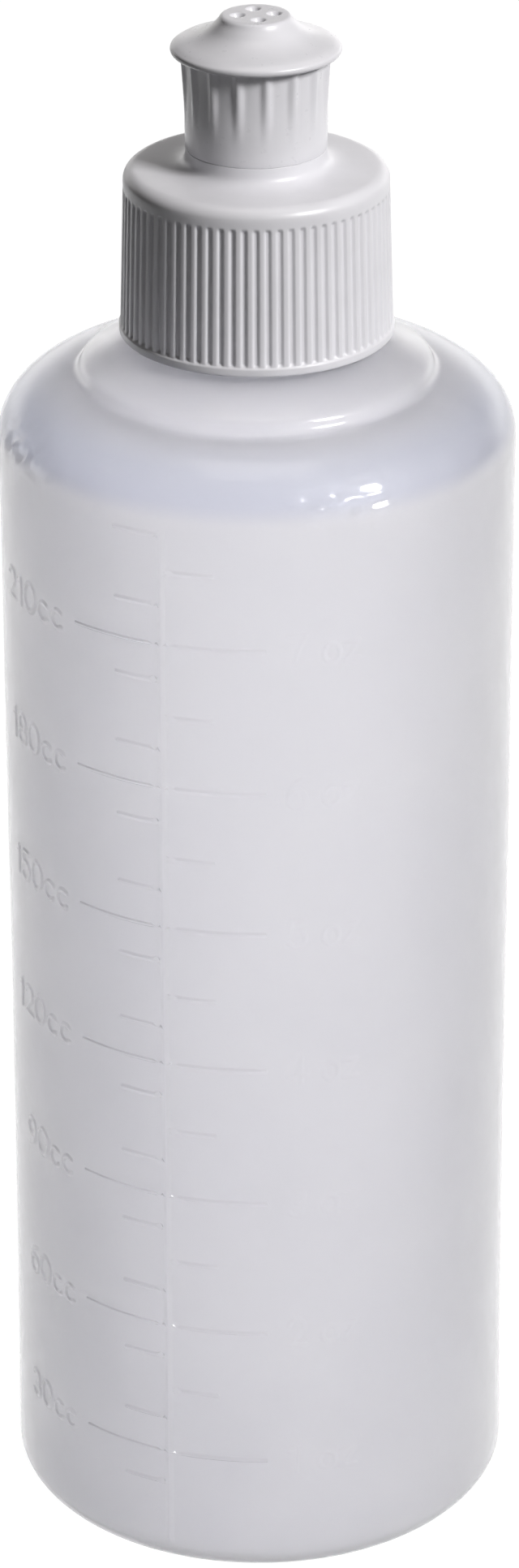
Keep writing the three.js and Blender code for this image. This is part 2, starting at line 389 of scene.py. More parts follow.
def scale_points():
    up = PART * U
    deg = math.pi / 180 * U
    pts, boxes = [], []
    for n in range(1, 8):
        z = FOUR_Z + (n - 4) * STEP
        p, b = bar_points(z, up - 22.3 * deg, up - 0.5, raised=0.16)
        pts += p
        boxes.append(b)
        p, b = bar_points(z, up + 0.5, up + 22.8 * deg, raised=0.13)
        pts += p
        boxes.append(b)
        strokes = label(f"{30 * n}cc", (-72.5 if n > 3 else -67.5) * deg, -48.0 * deg, z, 3.0)
        p, b = label_points(strokes, 0.2, 0.13)
        pts += p
        boxes.append(b)
        strokes = label(f"{n} oz", 6.5 * deg, 22.5 * deg, z, 3.0)
        p, b = label_points(strokes, 0.2, 0.05)
        pts += p
        boxes.append(b)
    for n in range(0, 8):
        z = FOUR_Z + (n - 4) * STEP
        for part in (0.27, 0.75):
            if n or part > 0.5:
                p, b = bar_points(z + part * STEP, up - 11.2 * deg, up - 0.5, raised=0.13)
                pts += p
                boxes.append(b)
        if n:
            p, b = bar_points(z + 0.5 * STEP, up + 0.5, up + 11.5 * deg, raised=0.12)
            pts += p
            boxes.append(b)
    return pts, boxes


def side_patch(b, low_ring, top_ring):
    """The straight side between two rings of corners: one triangulated sheet that holds the scale and the parting lines."""
    pts, boxes = scale_points()
    cut = math.pi * U  # the sheet is cut at the back, half way round
    rows = np.linspace(SIDE_LOW, SIDE_TOP, 47)
    cols = (np.arange(NC) / NC * 2 * np.pi + np.pi) % (2 * np.pi) - np.pi
    order = np.argsort(cols)
    us = cols[order] * U
    base = []
    parting = [PART * U, (PART + np.pi) * U]
    for i, z in enumerate(rows[1:-1]):
        shift = 0.0 if i % 2 else 0.5
        half = (np.arange(NC // 2) + shift) / (NC // 2) * 2 * cut - cut
        for u in half:
            if any(x0 < u < x1 and z0 < z < z1 for x0, z0, x1, z1 in boxes):
                continue
            if min(abs(u - q) for q in parting) < 1.0 or abs(u) > cut - 0.4:
                continue
            base.append((u, z, 0.0))
    line_pts = []
    for q in parting:
        for z in np.arange(SIDE_LOW + 0.8, SIDE_TOP - 0.4, 0.8):
            for du, h in ((-0.8, 0.0), (-0.52, 0.0), (-0.38, 0.0), (-0.12, 0.2), (0.0, 0.23), (0.12, 0.2), (0.38, 0.0), (0.52, 0.0), (0.8, 0.0)):
                line_pts.append((q + du, z, h))
    taken = {}
    gap = 0.1
    keep = thin(line_pts, gap, taken)
    keep += thin([p for p in pts if min(abs(p[0] - q) for q in parting) > 0.42], gap, taken)
    keep += thin(base, gap, taken)
    edge = [(u, SIDE_LOW, 0.0) for u in us] + [(u, SIDE_TOP, 0.0) for u in us]
    edge += [(us[0] + 2 * cut, SIDE_LOW, 0.0), (us[0] + 2 * cut, SIDE_TOP, 0.0)]
    seam = [(us[0], z, 0.0) for z in rows[1:-1]] + [(us[0] + 2 * cut, z, 0.0) for z in rows[1:-1]]
    allp = np.array(keep + edge + seam)
    verts, _, faces, _, _, _ = delaunay_2d_cdt([Vector((p[0], p[1])) for p in allp], [], [], 0, 1e-7)
    uz = np.array([(v.x, v.y) for v in verts])
    if len(uz) != len(allp) or np.abs(uz - allp[:, :2]).max() > 1e-4:  # match the heights by place
        near = {(round(p[0], 4), round(p[1], 4)): p[2] for p in allp}
        h = np.array([near.get((round(a, 4), round(c, 4)), 0.0) for a, c in uz])
    else:
        h = allp[:, 2]
    a, z = uz[:, 0] / U, uz[:, 1]
    r, z2 = skin(a, body_r(z), z)
    r = r + h * smooth(0.0, 0.5, z - SIDE_LOW)
    ids = b.add(np.stack([r * np.sin(a), -r * np.cos(a), z2], 1))
    for f in faces:
        b.f.append(tuple(ids[i] for i in f))


def thread_height(a, z, low, high, turns_phase=0.0):
    """0 to 1 over a right-handed helical ridge."""
    s = (z - low) / PITCH_MM - (a + turns_phase) / (2 * np.pi)
    s = s - np.floor(s + 0.5)
    prof = 1 - smooth(0.14, 0.33, np.abs(s))
    return prof


def bottle_mesh():
    b = Builder()
    heel_r = float(body_r(HEEL))
    # base, from the middle out: a shallow push-up with the pinch-off line, and the flat ring it stands on

    def pinched(a, r, z):
        d = np.abs(r * np.sin(a - PART))
        along = np.abs(r * np.cos(a - PART))
        h = 0.28 * (1 - smooth(0.18, 0.5, d)) * (1 - smooth(16.5, 18.0, along))
        return r, z - h

    base = [(r, 1.7 * (1 - (r / 20.2) ** 3)) for r in (1.2, 2.4, 3.6, 5, 6.5, 8, 9.5, 11, 12.5, 14, 15.3, 16.5, 17.5, 18.4, 19.2, 19.8)]
    first = b.ring(0.6, 1.7, 64, 0.0, pinched)
    b.cap_centre(first, 1.42)
    _, last = b.sweep(base[:4], 64, 0.0, pinched, first)
    _, last = b.sweep(base[4:9], 128, 0.0, pinched, last)
    _, last = b.sweep(base[9:], NC, 0.0, pinched, last)
    _, last = b.sweep([(20.2, 0.0), (21.5, 0.0), (22.8, 0.0)] + arc(heel_r - HEEL, HEEL, HEEL, HEEL, -90, 0, 10), NC, 0.0, None, last)
    # the ring at the top of the side carries the skin's unevenness too
    low_ring = last
    prof = bezier((float(body_r(SIDE_TOP)), SIDE_TOP), (25.53, 120.3), (22.66, 123.07), (18.2, 123.7), 26)
    prof += bezier((18.2, 123.7), (17.75, 123.76), (17.5, 124.0), (17.36, 124.4), 8)[1:]
    prof += bezier((17.36, 124.4), (17.2, 124.9), (16.95, 125.1), (16.3, 125.43), 8)[1:]
    prof += line((16.3, 125.43), (13.4, 127.0), 6)[1:]
    prof += bezier((13.4, 127.0), (12.3, 127.6), (11.0, 127.3), (10.9, 129.0), 8)[1:]
    top_first = b.ring(prof[0][0], prof[0][1], NC, 0.0, skin)
    _, last = b.sweep(prof[1:], NC, 0.0, skin, top_first)
    side_patch(b, low_ring, top_first)

    # neck and its thread
    def threaded(a, r, z):
        grow = smooth(THREAD_LOW, THREAD_LOW + 0.7, z) * (1 - smooth(THREAD_HIGH - 0.7, THREAD_HIGH, z))
        s = (z - THREAD_LOW) / PITCH_MM - np.mod(a, 2 * np.pi) / (2 * np.pi)
        h = np.zeros_like(r)
        for n in (0, 1, 2):
            c = 0.25 + n
            t = (np.mod(a, 2 * np.pi) / (2 * np.pi)) + n
            fade = smooth(0.0, 0.12, t) * (1 - smooth(1.55, 1.68, t))
            h = np.maximum(h, fade * (1 - smooth(0.12, 0.3, np.abs(s - c))))
        return r + 1.0 * h * np.maximum(grow, 0.0), z

    # the neck's wall, from the shoulder up through the thread
    zs = np.concatenate([np.arange(129.3, 133.6, 0.6), np.arange(133.6, 141.4, 0.16), np.arange(141.4, NECK_TOP - 0.5, 0.3)])
    _, last = b.sweep([(NECK_R, z) for z in zs], NC, 0.0, threaded, last)
    _, last = b.sweep(arc(NECK_R - 0.4, NECK_TOP - 0.4, 0.4, 0.4, 0, 90, 4), NC, 0.0, None, last)
    _, last = b.sweep([(10.2, NECK_TOP), (10.0, NECK_TOP - 0.08), (NECK_BORE, NECK_TOP - 0.35)], 128, 0.0, None, last)
    # inside of the wall, from the bore down
    inner = [(NECK_BORE, z) for z in (140.0, 136.0, 132.0, 129.0)]
    inner += bezier((NECK_BORE, 128.6), (9.95, 126.2), (11.6, 126.9), (13.0, 126.1), 6)
    inner += [(14.5, 125.3)]
    inner += bezier((16.0, 124.5), (16.6, 124.1), (16.5, 122.9), (18.0, 122.8), 8)
    inner += bezier((18.6, 122.75), (22.0, 122.2), (24.63, 119.8), (24.63, 116.6), 14)
    inner += [(float(body_r(z)) - WALL, z) for z in np.linspace(112, 8, 22)]
    inner += arc(heel_r - HEEL, HEEL + 0.25, HEEL - WALL, HEEL - WALL, 0, -90, 6)
    inner += [(r, 1.15 + 1.5 * (1 - (r / 21.0) ** 3)) for r in (20.5, 18, 15, 12, 9, 6, 3, 1)]

    def inside(a, r, z):
        x, y = r * np.sin(a), -r * np.cos(a)
        thick = 0.1 * wave(SEED + 5, 26.0)(x, y, z) * smooth(15, 20, r)
        return r - thick, z

    _, last = b.sweep(inner, 128, 0.0, inside, last)
    b.cap_centre(last[::-1], 2.65)
    return b.make("bottle_wall", merge=4e-6, sharp=50)


# ---------------------------------------------------------------- cap
CAP_Z, CAP_H, CAP_BORE, DECK = 128.25, 16.35, 12.2, 1.4
RIBS, RIB_LOW, RIB_HIGH = 72, 0.6, 14.45
R_LOW, R_HIGH, RIB_DEEP = 13.33, 12.9, 0.22
SEAT = 18.35
TOWER_R, TOWER_BORE, TOWER_TOP, BEAD_R = 5.0, 3.85, 24.85, 5.45
PLUG_R, PLUG_TOP = 2.3, 28.5


def cap_mesh():
    b = Builder()
    cols = RIBS * 10
    per = 2 * np.pi / RIBS

    def crest(z):
        return R_LOW + (R_HIGH - R_LOW) * z / RIB_HIGH

    def ribbed(a, r, z):
        zl = z - CAP_Z
        ph = np.abs(wrap((a * RIBS) + math.radians(20))) / np.pi  # 0 in the middle of a groove, 1 on a crest
        low = smooth(RIB_LOW - 0.05, RIB_LOW + 0.35, zl) * (1 - smooth(RIB_HIGH - 0.45, RIB_HIGH + 0.05, zl))
        groove = 1 - smooth(0.22, 0.62, ph)
        return r - RIB_DEEP * groove * low, z

    out = [(CAP_BORE + 0.12, -0.32), (12.7, -0.32), (13.15, -0.32)]
    out += arc(13.15, -0.07, 0.3, 0.25, -90, 0, 4)[1:]
    out += [(13.45, 0.15), (13.45, 0.36)] + bezier((13.45, 0.4), (13.45, 0.55), (13.36, 0.58), (crest(0.66), 0.66), 5)
    out += [(crest(z), z) for z in (0.74, 0.82, 0.9, 1.0, 1.1, 1.3, 1.6, 2.5, 4.0, 6.0, 8.0, 10.0, 12.0, 13.4, 13.9, 14.05, 14.15, 14.25, 14.35, 14.45, 14.55)]
    out += [(R_HIGH, 14.75), (R_HIGH, 14.95)]
    out += arc(R_HIGH - 1.3, CAP_H - 1.25, 1.3, 1.25, 0, 90, 10)[1:]
    start, last = b.sweep([(r, z + CAP_Z) for r, z in out], cols, 0.0, ribbed)
    deck = [(11.0, CAP_H + 0.01), (10.2, CAP_H + 0.03)]
    deck += bezier((9.4, CAP_H + 0.04), (7.9, CAP_H + 0.1), (7.0, CAP_H + 0.3), (6.86, CAP_H + 1.15), 12)
    deck += [(6.84, CAP_H + 1.6)] + arc(6.78, SEAT - 0.06, 0.06, 0.06, 0, 90, 3)
    deck += [(6.3, SEAT), (5.4, SEAT), (TOWER_R + 0.05, SEAT), (TOWER_R, SEAT + 0.06), (TOWER_R, 20.5), (TOWER_R, 23.6)]
    deck += bezier((TOWER_R, 23.8), (5.35, 23.95), (BEAD_R, 24.0), (BEAD_R, 24.2), 5)
    deck += bezier((BEAD_R, 24.3), (BEAD_R, 24.5), (5.25, 24.7), (TOWER_R, 24.82), 5)
    deck += [(4.85, TOWER_TOP), (4.0, TOWER_TOP), (TOWER_BORE, TOWER_TOP - 0.12), (TOWER_BORE, 22.0), (TOWER_BORE, 18.0)]
    inner = CAP_H - DECK
    deck += [(TOWER_BORE, inner + 0.15), (TOWER_BORE + 0.15, inner), (6.0, inner), (8.7, inner), (8.8, inner - 0.1), (8.82, inner - 1.8), (8.95, inner - 2.02), (9.2, inner - 2.1), (9.45, inner - 1.95), (9.6, inner - 1.5), (9.62, inner - 0.1), (9.72, inner), (11.0, inner), (CAP_BORE - 0.15, inner), (CAP_BORE, inner - 0.2)]
    _, last = b.sweep([(r, z + CAP_Z) for r, z in deck], 144, 0.0, None, last)
    start, last = start, last

    # inside thread, half a turn's pitch away from the neck's
    def threaded(a, r, z):
        an = np.mod(a, 2 * np.pi) / (2 * np.pi)
        s = (z - THREAD_LOW) / PITCH_MM - an
        h = np.zeros_like(r)
        for n in (-1, 0, 1):
            t = an + n + 1
            fade = smooth(0.0, 0.12, t) * (1 - smooth(2.1, 2.25, t))
            h = np.maximum(h, fade * (1 - smooth(0.12, 0.28, np.abs(s - (n + 0.75)))))
        return r - 0.85 * h, z

    zs = np.concatenate([[142.4, 141.8], np.arange(141.4, 131.4, -0.22), [131.0, 130.5, 130.0, 129.4, 128.8]])
    _, last = b.sweep([(CAP_BORE, z) for z in zs], 144, 0.0, threaded, last)
    _, last = b.sweep([(CAP_BORE, 128.3), (CAP_BORE, 128.05)], 144, 0.0, None, last)
    b.bridge(last, start)

    # plug on its spokes, one casting with the tower
    ob = b.make("cap_shell", merge=2e-6, sharp=42)
    p = Builder()
    prof = [(1.2, 23.5), (2.0, 23.5), (2.2, 23.55), (PLUG_R, 23.7), (PLUG_R, 25.0), (PLUG_R, 27.4)]
    prof += arc(PLUG_R - 0.7, PLUG_TOP - 0.7, 0.7, 0.7, 0, 80, 5)
    first, last = p.sweep([(r, z + CAP_Z) for r, z in prof], 48)
    p.cap_centre(first[::-1], 23.5 + CAP_Z)
    p.cap_centre(last, PLUG_TOP + 0.05 + CAP_Z)
    plug = p.make("plug_tmp")
    parts = [plug]
    for i in range(3):
        bm = bmesh.new()
        bmesh.ops.create_cube(bm, size=1.0)
        bmesh.ops.scale(bm, verts=bm.verts, vec=(2.35, 1.3, 1.0))
        bmesh.ops.bevel(bm, geom=bm.edges[:], offset=0.16, segments=3, affect="EDGES")
        bmesh.ops.translate(bm, verts=bm.verts, vec=((TOWER_BORE + PLUG_R) / 2, 0, TOWER_TOP - 0.6))
        bmesh.ops.rotate(bm, verts=bm.verts, cent=(0, 0, 0), matrix=Matrix.Rotation(2 * math.pi * i / 3 + math.pi / 2, 3, "Z"))
        bmesh.ops.translate(bm, verts=bm.verts, vec=(0, 0, CAP_Z))
        bmesh.ops.scale(bm, verts=bm.verts, vec=(MM, MM, MM))
        me = bpy.data.meshes.new("spoke_tmp")
        bm.to_mesh(me)
        bm.free()
        so = bpy.data.objects.new("spoke_tmp", me)
        bpy.context.scene.collection.objects.link(so)
        parts.append(so)
    return union(ob, parts, sharp=42)


def union(ob, parts, sharp):
    """Joins solids into one skin with exact booleans, applied."""
    for part in parts:
        mod = ob.modifiers.new("join", "BOOLEAN")
        mod.operation = "UNION"
        mod.solver = "EXACT"
        mod.object = part
    dg = bpy.context.evaluated_depsgraph_get()
    me = bpy.data.meshes.new_from_object(ob.evaluated_get(dg))
    ob.modifiers.clear()
    old = ob.data
    ob.data = me
    bpy.data.meshes.remove(old)
    for part in parts:
        m = part.data
        bpy.data.objects.remove(part)
        bpy.data.meshes.remove(m)
    for f in me.polygons:
        f.use_smooth = True
    me.set_sharp_from_angle(angle=math.radians(sharp))
    return ob


# ---------------------------------------------------------------- spout
SPOUT_Z = CAP_Z + SEAT + 0.3
FOOT = -0.285  # the foot sits down on the collar when the spout is shut
FLUTES, FLUTE_AT, FLUTE_DEEP = 16, math.radians(8.4), 0.34
THROAT = 2.6
HOLE_AT, HOLE_TURN = 1.75, math.radians(8.3)
HOLE_WALL = [(0.8, 12.8), (0.74, 12.785), (0.68, 12.74), (0.62, 12.66), (0.55, 12.54), (0.47, 12.42), (0.42, 12.3), (0.4, 12.1), (0.4, 11.6)]


def spout_mesh():
    b = Builder()
    cols = FLUTES * 14

    def fluted(a, r, z):
        zl = z - SPOUT_Z
        ph = np.abs(wrap((a - FLUTE_AT) * FLUTES)) / np.pi  # 0 on a ridge, 1 in the middle of a flute
        hollow = smooth(0.02, 0.52, ph)
        deep = FLUTE_DEEP * smooth(1.6, 7.6, zl) * (1 - smooth(9.0, 9.12, zl)) * (r < 7.6)
        return r - deep * hollow, z

    out = [(5.85, FOOT), (6.3, FOOT), (6.72, FOOT)] + arc(6.78, FOOT + 0.06, 0.06, 0.06, -90, 0, 3)[1:]
    out += [(6.85, 0.3)]
    out += [(6.86, 0.8), (6.88, 1.6), (6.9, 2.4), (6.94, 3.4), (7.0, 4.6), (7.07, 5.8), (7.15, 7.0), (7.22, 8.0), (7.28, 8.6)]
    out += bezier((7.3, 8.8), (7.32, 9.0), (7.4, 9.06), (7.55, 9.08), 4)
    out += [(7.75, 9.1)] + arc(7.82, 9.5, 0.4, 0.4, -90, 62, 12)
    out += bezier((7.9, 9.93), (7.55, 10.18), (7.0, 10.3), (6.35, 10.5), 7)[1:]
    out += bezier((6.35, 10.5), (5.5, 10.78), (4.75, 11.1), (4.2, 11.68), 12)[1:]
    out += bezier((4.2, 11.68), (3.9, 12.0), (3.68, 12.2), (3.52, 12.48), 8)[1:]
    out += bezier((3.52, 12.48), (3.42, 12.68), (3.3, 12.78), (3.05, 12.8), 6)[1:]
    start, top = b.sweep([(r, z + SPOUT_Z) for r, z in out], cols, 0.0, fluted)
    # inside, from the mouth of the foot up to the throat's roof
    ins = [(5.78, FOOT + 0.05), (5.75, 0.0), (5.75, 0.15)] + bezier((5.75, 0.2), (5.45, 0.4), (5.3, 0.45), (5.3, 0.65), 4)
    ins += bezier((5.3, 0.8), (5.3, 1.0), (5.5, 1.1), (5.75, 1.3), 4) + [(5.75, 4.0), (5.75, 7.9)]
    ins += arc(5.5, 8.05, 0.25, 0.25, 0, 90, 3) + [(4.0, 8.3), (2.85, 8.3), (2.68, 8.35), (THROAT, 8.5), (THROAT, 10.0), (THROAT, 11.45), (2.55, 11.6)]
    _, roof = b.sweep([(r, z + SPOUT_Z) for r, z in ins], cols // 2, 0.0, None, start)

    # the nose's face and the throat's roof, both with the four holes
    def face(ring, z, hole_r, rings):
        xy = [b_xy(b, i) for i in ring]
        hn = 28
        pts = list(xy)
        for k in range(4):
            cx, cy = HOLE_AT * math.cos(HOLE_TURN + k * math.pi / 2), HOLE_AT * math.sin(HOLE_TURN + k * math.pi / 2)
            for rr in [hole_r] + rings:
                n = hn
                pts += [(cx + rr * math.cos(2 * math.pi * j / n), cy + rr * math.sin(2 * math.pi * j / n)) for j in range(n)]
        rng = np.random.default_rng(SEED)
        rmax = min(math.hypot(*p) for p in xy)
        for rr in np.arange(0.0, rmax - 0.12, 0.28):
            n = max(1, int(2 * math.pi * rr / 0.28))
            for j in range(n):
                p = (rr * math.cos(2 * math.pi * j / n), rr * math.sin(2 * math.pi * j / n))
                if all(math.hypot(p[0] - HOLE_AT * math.cos(HOLE_TURN + k * math.pi / 2), p[1] - HOLE_AT * math.sin(HOLE_TURN + k * math.pi / 2)) > hole_r + sum(rings[-1:]) - hole_r * bool(rings) + 0.12 for k in range(4)):
                    pts.append(p)
        verts, _, faces, _, _, _ = delaunay_2d_cdt([Vector(p) for p in pts], [], [], 0, 1e-7)
        ids = b.add([[v.x, v.y, z + SPOUT_Z] for v in verts])
        xyv = np.array([(v.x, v.y) for v in verts])
        centres = [(HOLE_AT * math.cos(HOLE_TURN + k * math.pi / 2), HOLE_AT * math.sin(HOLE_TURN + k * math.pi / 2)) for k in range(4)]
        for f in faces:
            c = xyv[list(f)].mean(0)
            if all(math.hypot(c[0] - q[0], c[1] - q[1]) > hole_r * 0.995 for q in centres):
                b.f.append(tuple(ids[i] for i in f))
        return [[(q[0] + hole_r * math.cos(2 * math.pi * j / hn), q[1] + hole_r * math.sin(2 * math.pi * j / hn), z) for j in range(hn)] for q in centres], centres, hn

    _, centres, hn = face(top, 12.8, HOLE_WALL[0][0], [HOLE_WALL[0][0] + 0.13])
    face(roof, 11.6, HOLE_WALL[-1][0], [])
    for k, (cx, cy) in enumerate(centres):
        prev = None
        for rr, z in HOLE_WALL:
            ring = b.add([[cx + rr * math.cos(2 * math.pi * j / hn), cy + rr * math.sin(2 * math.pi * j / hn), z + SPOUT_Z] for j in range(hn)])
            if prev is not None:
                b.bridge(prev, ring)
            prev = ring
    return b.make("spout_tip", merge=1.2e-6, sharp=38)


def b_xy(b, index):
    for block in b.v:
        if index < len(block):
            return float(block[index][0]), float(block[index][1])
        index -= len(block)


# ---------------------------------------------------------------- materials
def nodes_of(name):
    m = bpy.data.materials.new(name)
    m.use_nodes = True
    nt = m.node_tree
    nt.nodes.clear()
    return m, nt, nt.nodes.new("ShaderNodeOutputMaterial")


def noise(nt, scale, detail=2.0, rough=0.5, coord=None, distortion=0.0):
    n = nt.nodes.new("ShaderNodeTexNoise")
    n.inputs["Scale"].default_value = scale
    n.inputs["Detail"].default_value = detail
    n.inputs["Roughness"].default_value = rough
    n.inputs["Distortion"].default_value = distortion
    if coord is not None:
        nt.links.new(coord, n.inputs["Vector"])
    return n.outputs["Fac"]


def object_coord(nt):
    t = nt.nodes.new("ShaderNodeTexCoord")
    return t.outputs["Object"]


def ramp(nt, fac, stops):
    r = nt.nodes.new("ShaderNodeValToRGB")
    e = r.color_ramp.elements
    while len(e) < len(stops):
        e.new(0.5)
    for el, (pos, col) in zip(e, stops):
        el.position = pos
        el.color = (*col, 1.0) if len(col) == 3 else col
    nt.links.new(fac, r.inputs["Fac"])
    return r.outputs["Color"]


def map_range(nt, fac, a, b, c, d):
    r = nt.nodes.new("ShaderNodeMapRange")
    r.inputs["From Min"].default_value = a
    r.inputs["From Max"].default_value = b
    r.inputs["To Min"].default_value = c
    r.inputs["To Max"].default_value = d
    nt.links.new(fac, r.inputs["Value"])
    return r.outputs["Result"]


def white_plastic(name, base, rough):
    m, nt, out = nodes_of(name)
    co = object_coord(nt)
    p = nt.nodes.new("ShaderNodeBsdfPrincipled")
    p.inputs["IOR"].default_value = 1.49
    tint = ramp(nt, noise(nt, 220.0, 3.0, 0.55, co), [(0.3, tuple(c * 0.965 for c in base)), (0.7, tuple(min(1, c * 1.015) for c in base))])
    nt.links.new(tint, p.inputs["Base Color"])
    nt.links.new(map_range(nt, noise(nt, 900.0, 3.0, 0.6, co), 0.3, 0.7, rough - 0.035, rough + 0.05), p.inputs["Roughness"])
    bump = nt.nodes.new("ShaderNodeBump")
    bump.inputs["Strength"].default_value = 0.12
    bump.inputs["Distance"].default_value = 0.00004
    nt.links.new(noise(nt, 1500.0, 2.0, 0.5, co), bump.inputs["Height"])
    nt.links.new(bump.outputs["Normal"], p.inputs["Normal"])
    nt.links.new(p.outputs["BSDF"], out.inputs["Surface"])
    return m


def milky_plastic(name):
    """Natural polyethylene: light goes through the wall and is scattered on the way, some is sent back, and the surface has its own gloss."""
    m, nt, out = nodes_of(name)
    co = object_coord(nt)
    p = nt.nodes.new("ShaderNodeBsdfPrincipled")
    cloud = noise(nt, 60.0, 4.0, 0.55, co, 0.4)
    tint = ramp(nt, cloud, [(0.3, (0.935, 0.932, 0.962)), (0.7, (0.972, 0.968, 0.992))])
    xyz = nt.nodes.new("ShaderNodeSeparateXYZ")  # painted shade by height: a darker, bluer band round the shoulder's corner, darker towards the bottom and a little darker at the top
    nt.links.new(co, xyz.inputs["Vector"])
    # thick holds painted shade over height, multiplied into the random tone below: darker towards the base, a darker
    # bluer band at the shoulder's corner, a little darker at the top
    thick = ramp(
        nt,
        map_range(nt, xyz.outputs["Z"], 0.0, 0.130, 0.0, 1.0),
        [(0.05, (0.95, 0.95, 0.953)), (0.75, (1, 1, 1)), (0.905, (1, 1, 1)), (0.917, (0.85, 0.87, 0.93)), (0.938, (0.86, 0.88, 0.93)), (0.951, (0.98, 0.98, 0.985)), (1.0, (0.96, 0.96, 0.965))],
    )
    tone_and_painted_shade = nt.nodes.new("ShaderNodeMix")
    tone_and_painted_shade.data_type = "RGBA"
    tone_and_painted_shade.blend_type = "MULTIPLY"
    tone_and_painted_shade.inputs["Factor"].default_value = 1.0
    nt.links.new(tint, tone_and_painted_shade.inputs[6])
    nt.links.new(thick, tone_and_painted_shade.inputs[7])
    nt.links.new(tone_and_painted_shade.outputs[2], p.inputs["Base Color"])
    nt.links.new(map_range(nt, noise(nt, 350.0, 3.0, 0.6, co), 0.3, 0.7, 0.62, 0.7), p.inputs["Roughness"])
    p.inputs["IOR"].default_value = 1.5
    p.inputs["Transmission Weight"].default_value = 0.85
    p.inputs["Coat Weight"].default_value = 0.8
    p.inputs["Coat Roughness"].default_value = 0.13
    p.inputs["Coat IOR"].default_value = 1.5
    bump = nt.nodes.new("ShaderNodeBump")
    bump.inputs["Strength"].default_value = 0.3
    bump.inputs["Distance"].default_value = 0.00006
    nt.links.new(noise(nt, 420.0, 3.0, 0.5, co), bump.inputs["Height"])
    nt.links.new(bump.outputs["Normal"], p.inputs["Normal"])
    nt.links.new(bump.outputs["Normal"], p.inputs["Coat Normal"])
    nt.links.new(p.outputs["BSDF"], out.inputs["Surface"])
    return m


# ---------------------------------------------------------------- pieces
white = white_plastic("white_plastic", (0.79, 0.785, 0.82), 0.33)
white_tip = white_plastic("white_plastic_tip", (0.79, 0.785, 0.82), 0.3)
milky = milky_plastic("milky_plastic")

bottle = bottle_mesh()
bottle.data.materials.append(milky)
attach(bottle, "bottle")
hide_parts("bottle")

cap = cap_mesh()
cap.data.materials.clear()
cap.data.materials.append(white)
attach(cap, "cap")
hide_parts("cap")

spout = spout_mesh()
spout.data.materials.append(white_tip)
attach(spout, "spout")
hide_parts("spout")


# ---------------------------------------------------------------- floor, light, world
WALL_LIGHT, ROOM_LIGHT, PAPER_THROUGH, FLOOR_GLOW_THROUGH = 0.9, 0.025, 1.3, 0.43


def make_floor():
    bm = bmesh.new()
    bmesh.ops.create_grid(bm, x_segments=24, y_segments=24, size=2.5)
    bmesh.ops.translate(bm, verts=bm.verts, vec=(0, 0, -0.00002))
    me = bpy.data.meshes.new("floor")
    bm.to_mesh(me)
    bm.free()
    ob = bpy.data.objects.new("floor", me)
    bpy.context.scene.collection.objects.link(ob)
    m, nt, out = nodes_of("floor_paper")
    p = nt.nodes.new("ShaderNodeBsdfDiffuse")
    nt.links.new(ramp(nt, noise(nt, 6.0, 3.0, 0.5, object_coord(nt)), [(0.3, (0.90, 0.90, 0.90)), (0.7, (0.92, 0.92, 0.92))]), p.inputs["Color"])
    e = nt.nodes.new("ShaderNodeEmission")  # the paper is lit evenly from behind as well, so shadows on it stay faint
    e.inputs["Color"].default_value = (1, 1, 1, 1)
    path = nt.nodes.new("ShaderNodeLightPath")
    bright = nt.nodes.new("ShaderNodeMath")
    bright.operation = "MULTIPLY_ADD"
    bright.inputs[1].default_value = 0.3
    bright.inputs[2].default_value = 1.1
    outside = nt.nodes.new("ShaderNodeMath")
    outside.operation = "LESS_THAN"
    outside.inputs[1].default_value = 0.5
    nt.links.new(path.outputs["Transmission Depth"], outside.inputs[0])
    both = nt.nodes.new("ShaderNodeMath")
    both.operation = "MULTIPLY"
    nt.links.new(path.outputs["Is Glossy Ray"], both.inputs[0])
    nt.links.new(outside.outputs["Value"], both.inputs[1])
    nt.links.new(both.outputs["Value"], bright.inputs[0])
    nt.links.new(bright.outputs["Value"], e.inputs["Strength"])
    share = nt.nodes.new("ShaderNodeMath")
    share.operation = "MULTIPLY_ADD"
    share.inputs[1].default_value = FLOOR_GLOW_THROUGH
    nt.links.new(path.outputs["Is Transmission Ray"], share.inputs[0])
    direct = nt.nodes.new("ShaderNodeMath")
    direct.operation = "MULTIPLY"
    direct.inputs[1].default_value = 0.9
    seen = nt.nodes.new("ShaderNodeMath")
    seen.operation = "MAXIMUM"
    nt.links.new(path.outputs["Is Camera Ray"], seen.inputs[0])
    nt.links.new(path.outputs["Is Glossy Ray"], seen.inputs[1])
    nt.links.new(seen.outputs["Value"], direct.inputs[0])
    nt.links.new(direct.outputs["Value"], share.inputs[2])
    mix = nt.nodes.new("ShaderNodeMixShader")
    nt.links.new(share.outputs["Value"], mix.inputs["Fac"])
    nt.links.new(p.outputs["BSDF"], mix.inputs[1])
    nt.links.new(e.outputs["Emission"], mix.inputs[2])
    nt.links.new(mix.outputs["Shader"], out.inputs["Surface"])
    ob.data.materials.append(m)
    ob.visible_diffuse = False
    return ob


def area(name, at, aim, size, power, colour=(1, 1, 1), size_y=None, spread=math.pi):
    light = bpy.data.lights.new(name, "AREA")
    light.energy = power
    light.color = colour
    light.size = size
    light.spread = spread
    if size_y:
        light.shape = "RECTANGLE"
        light.size_y = size_y
    ob = bpy.data.objects.new(name, light)
    ob.location = at
    ob.rotation_euler = (Vector(aim) - Vector(at)).to_track_quat("-Z", "Y").to_euler()
    bpy.context.scene.collection.objects.link(ob)
    return ob


def polar(az, el, dist, z=0.1):
    """A place az degrees to the right of the front and el degrees up, dist metres from the middle of the object."""
    a, e = math.radians(az), math.radians(el)
    return (dist * math.sin(a) * math.cos(e), -dist * math.cos(a) * math.cos(e), z + dist * math.sin(e))


make_floor()
area("key", polar(51, 37, 1.3), (0, 0, 0.1), 0.34, 16.0, (1.0, 0.99, 0.985))
area("top", (0.0, 0.0, 1.3), (0, 0, 0.1), 0.6, 1.95, (1.0, 0.965, 0.925))


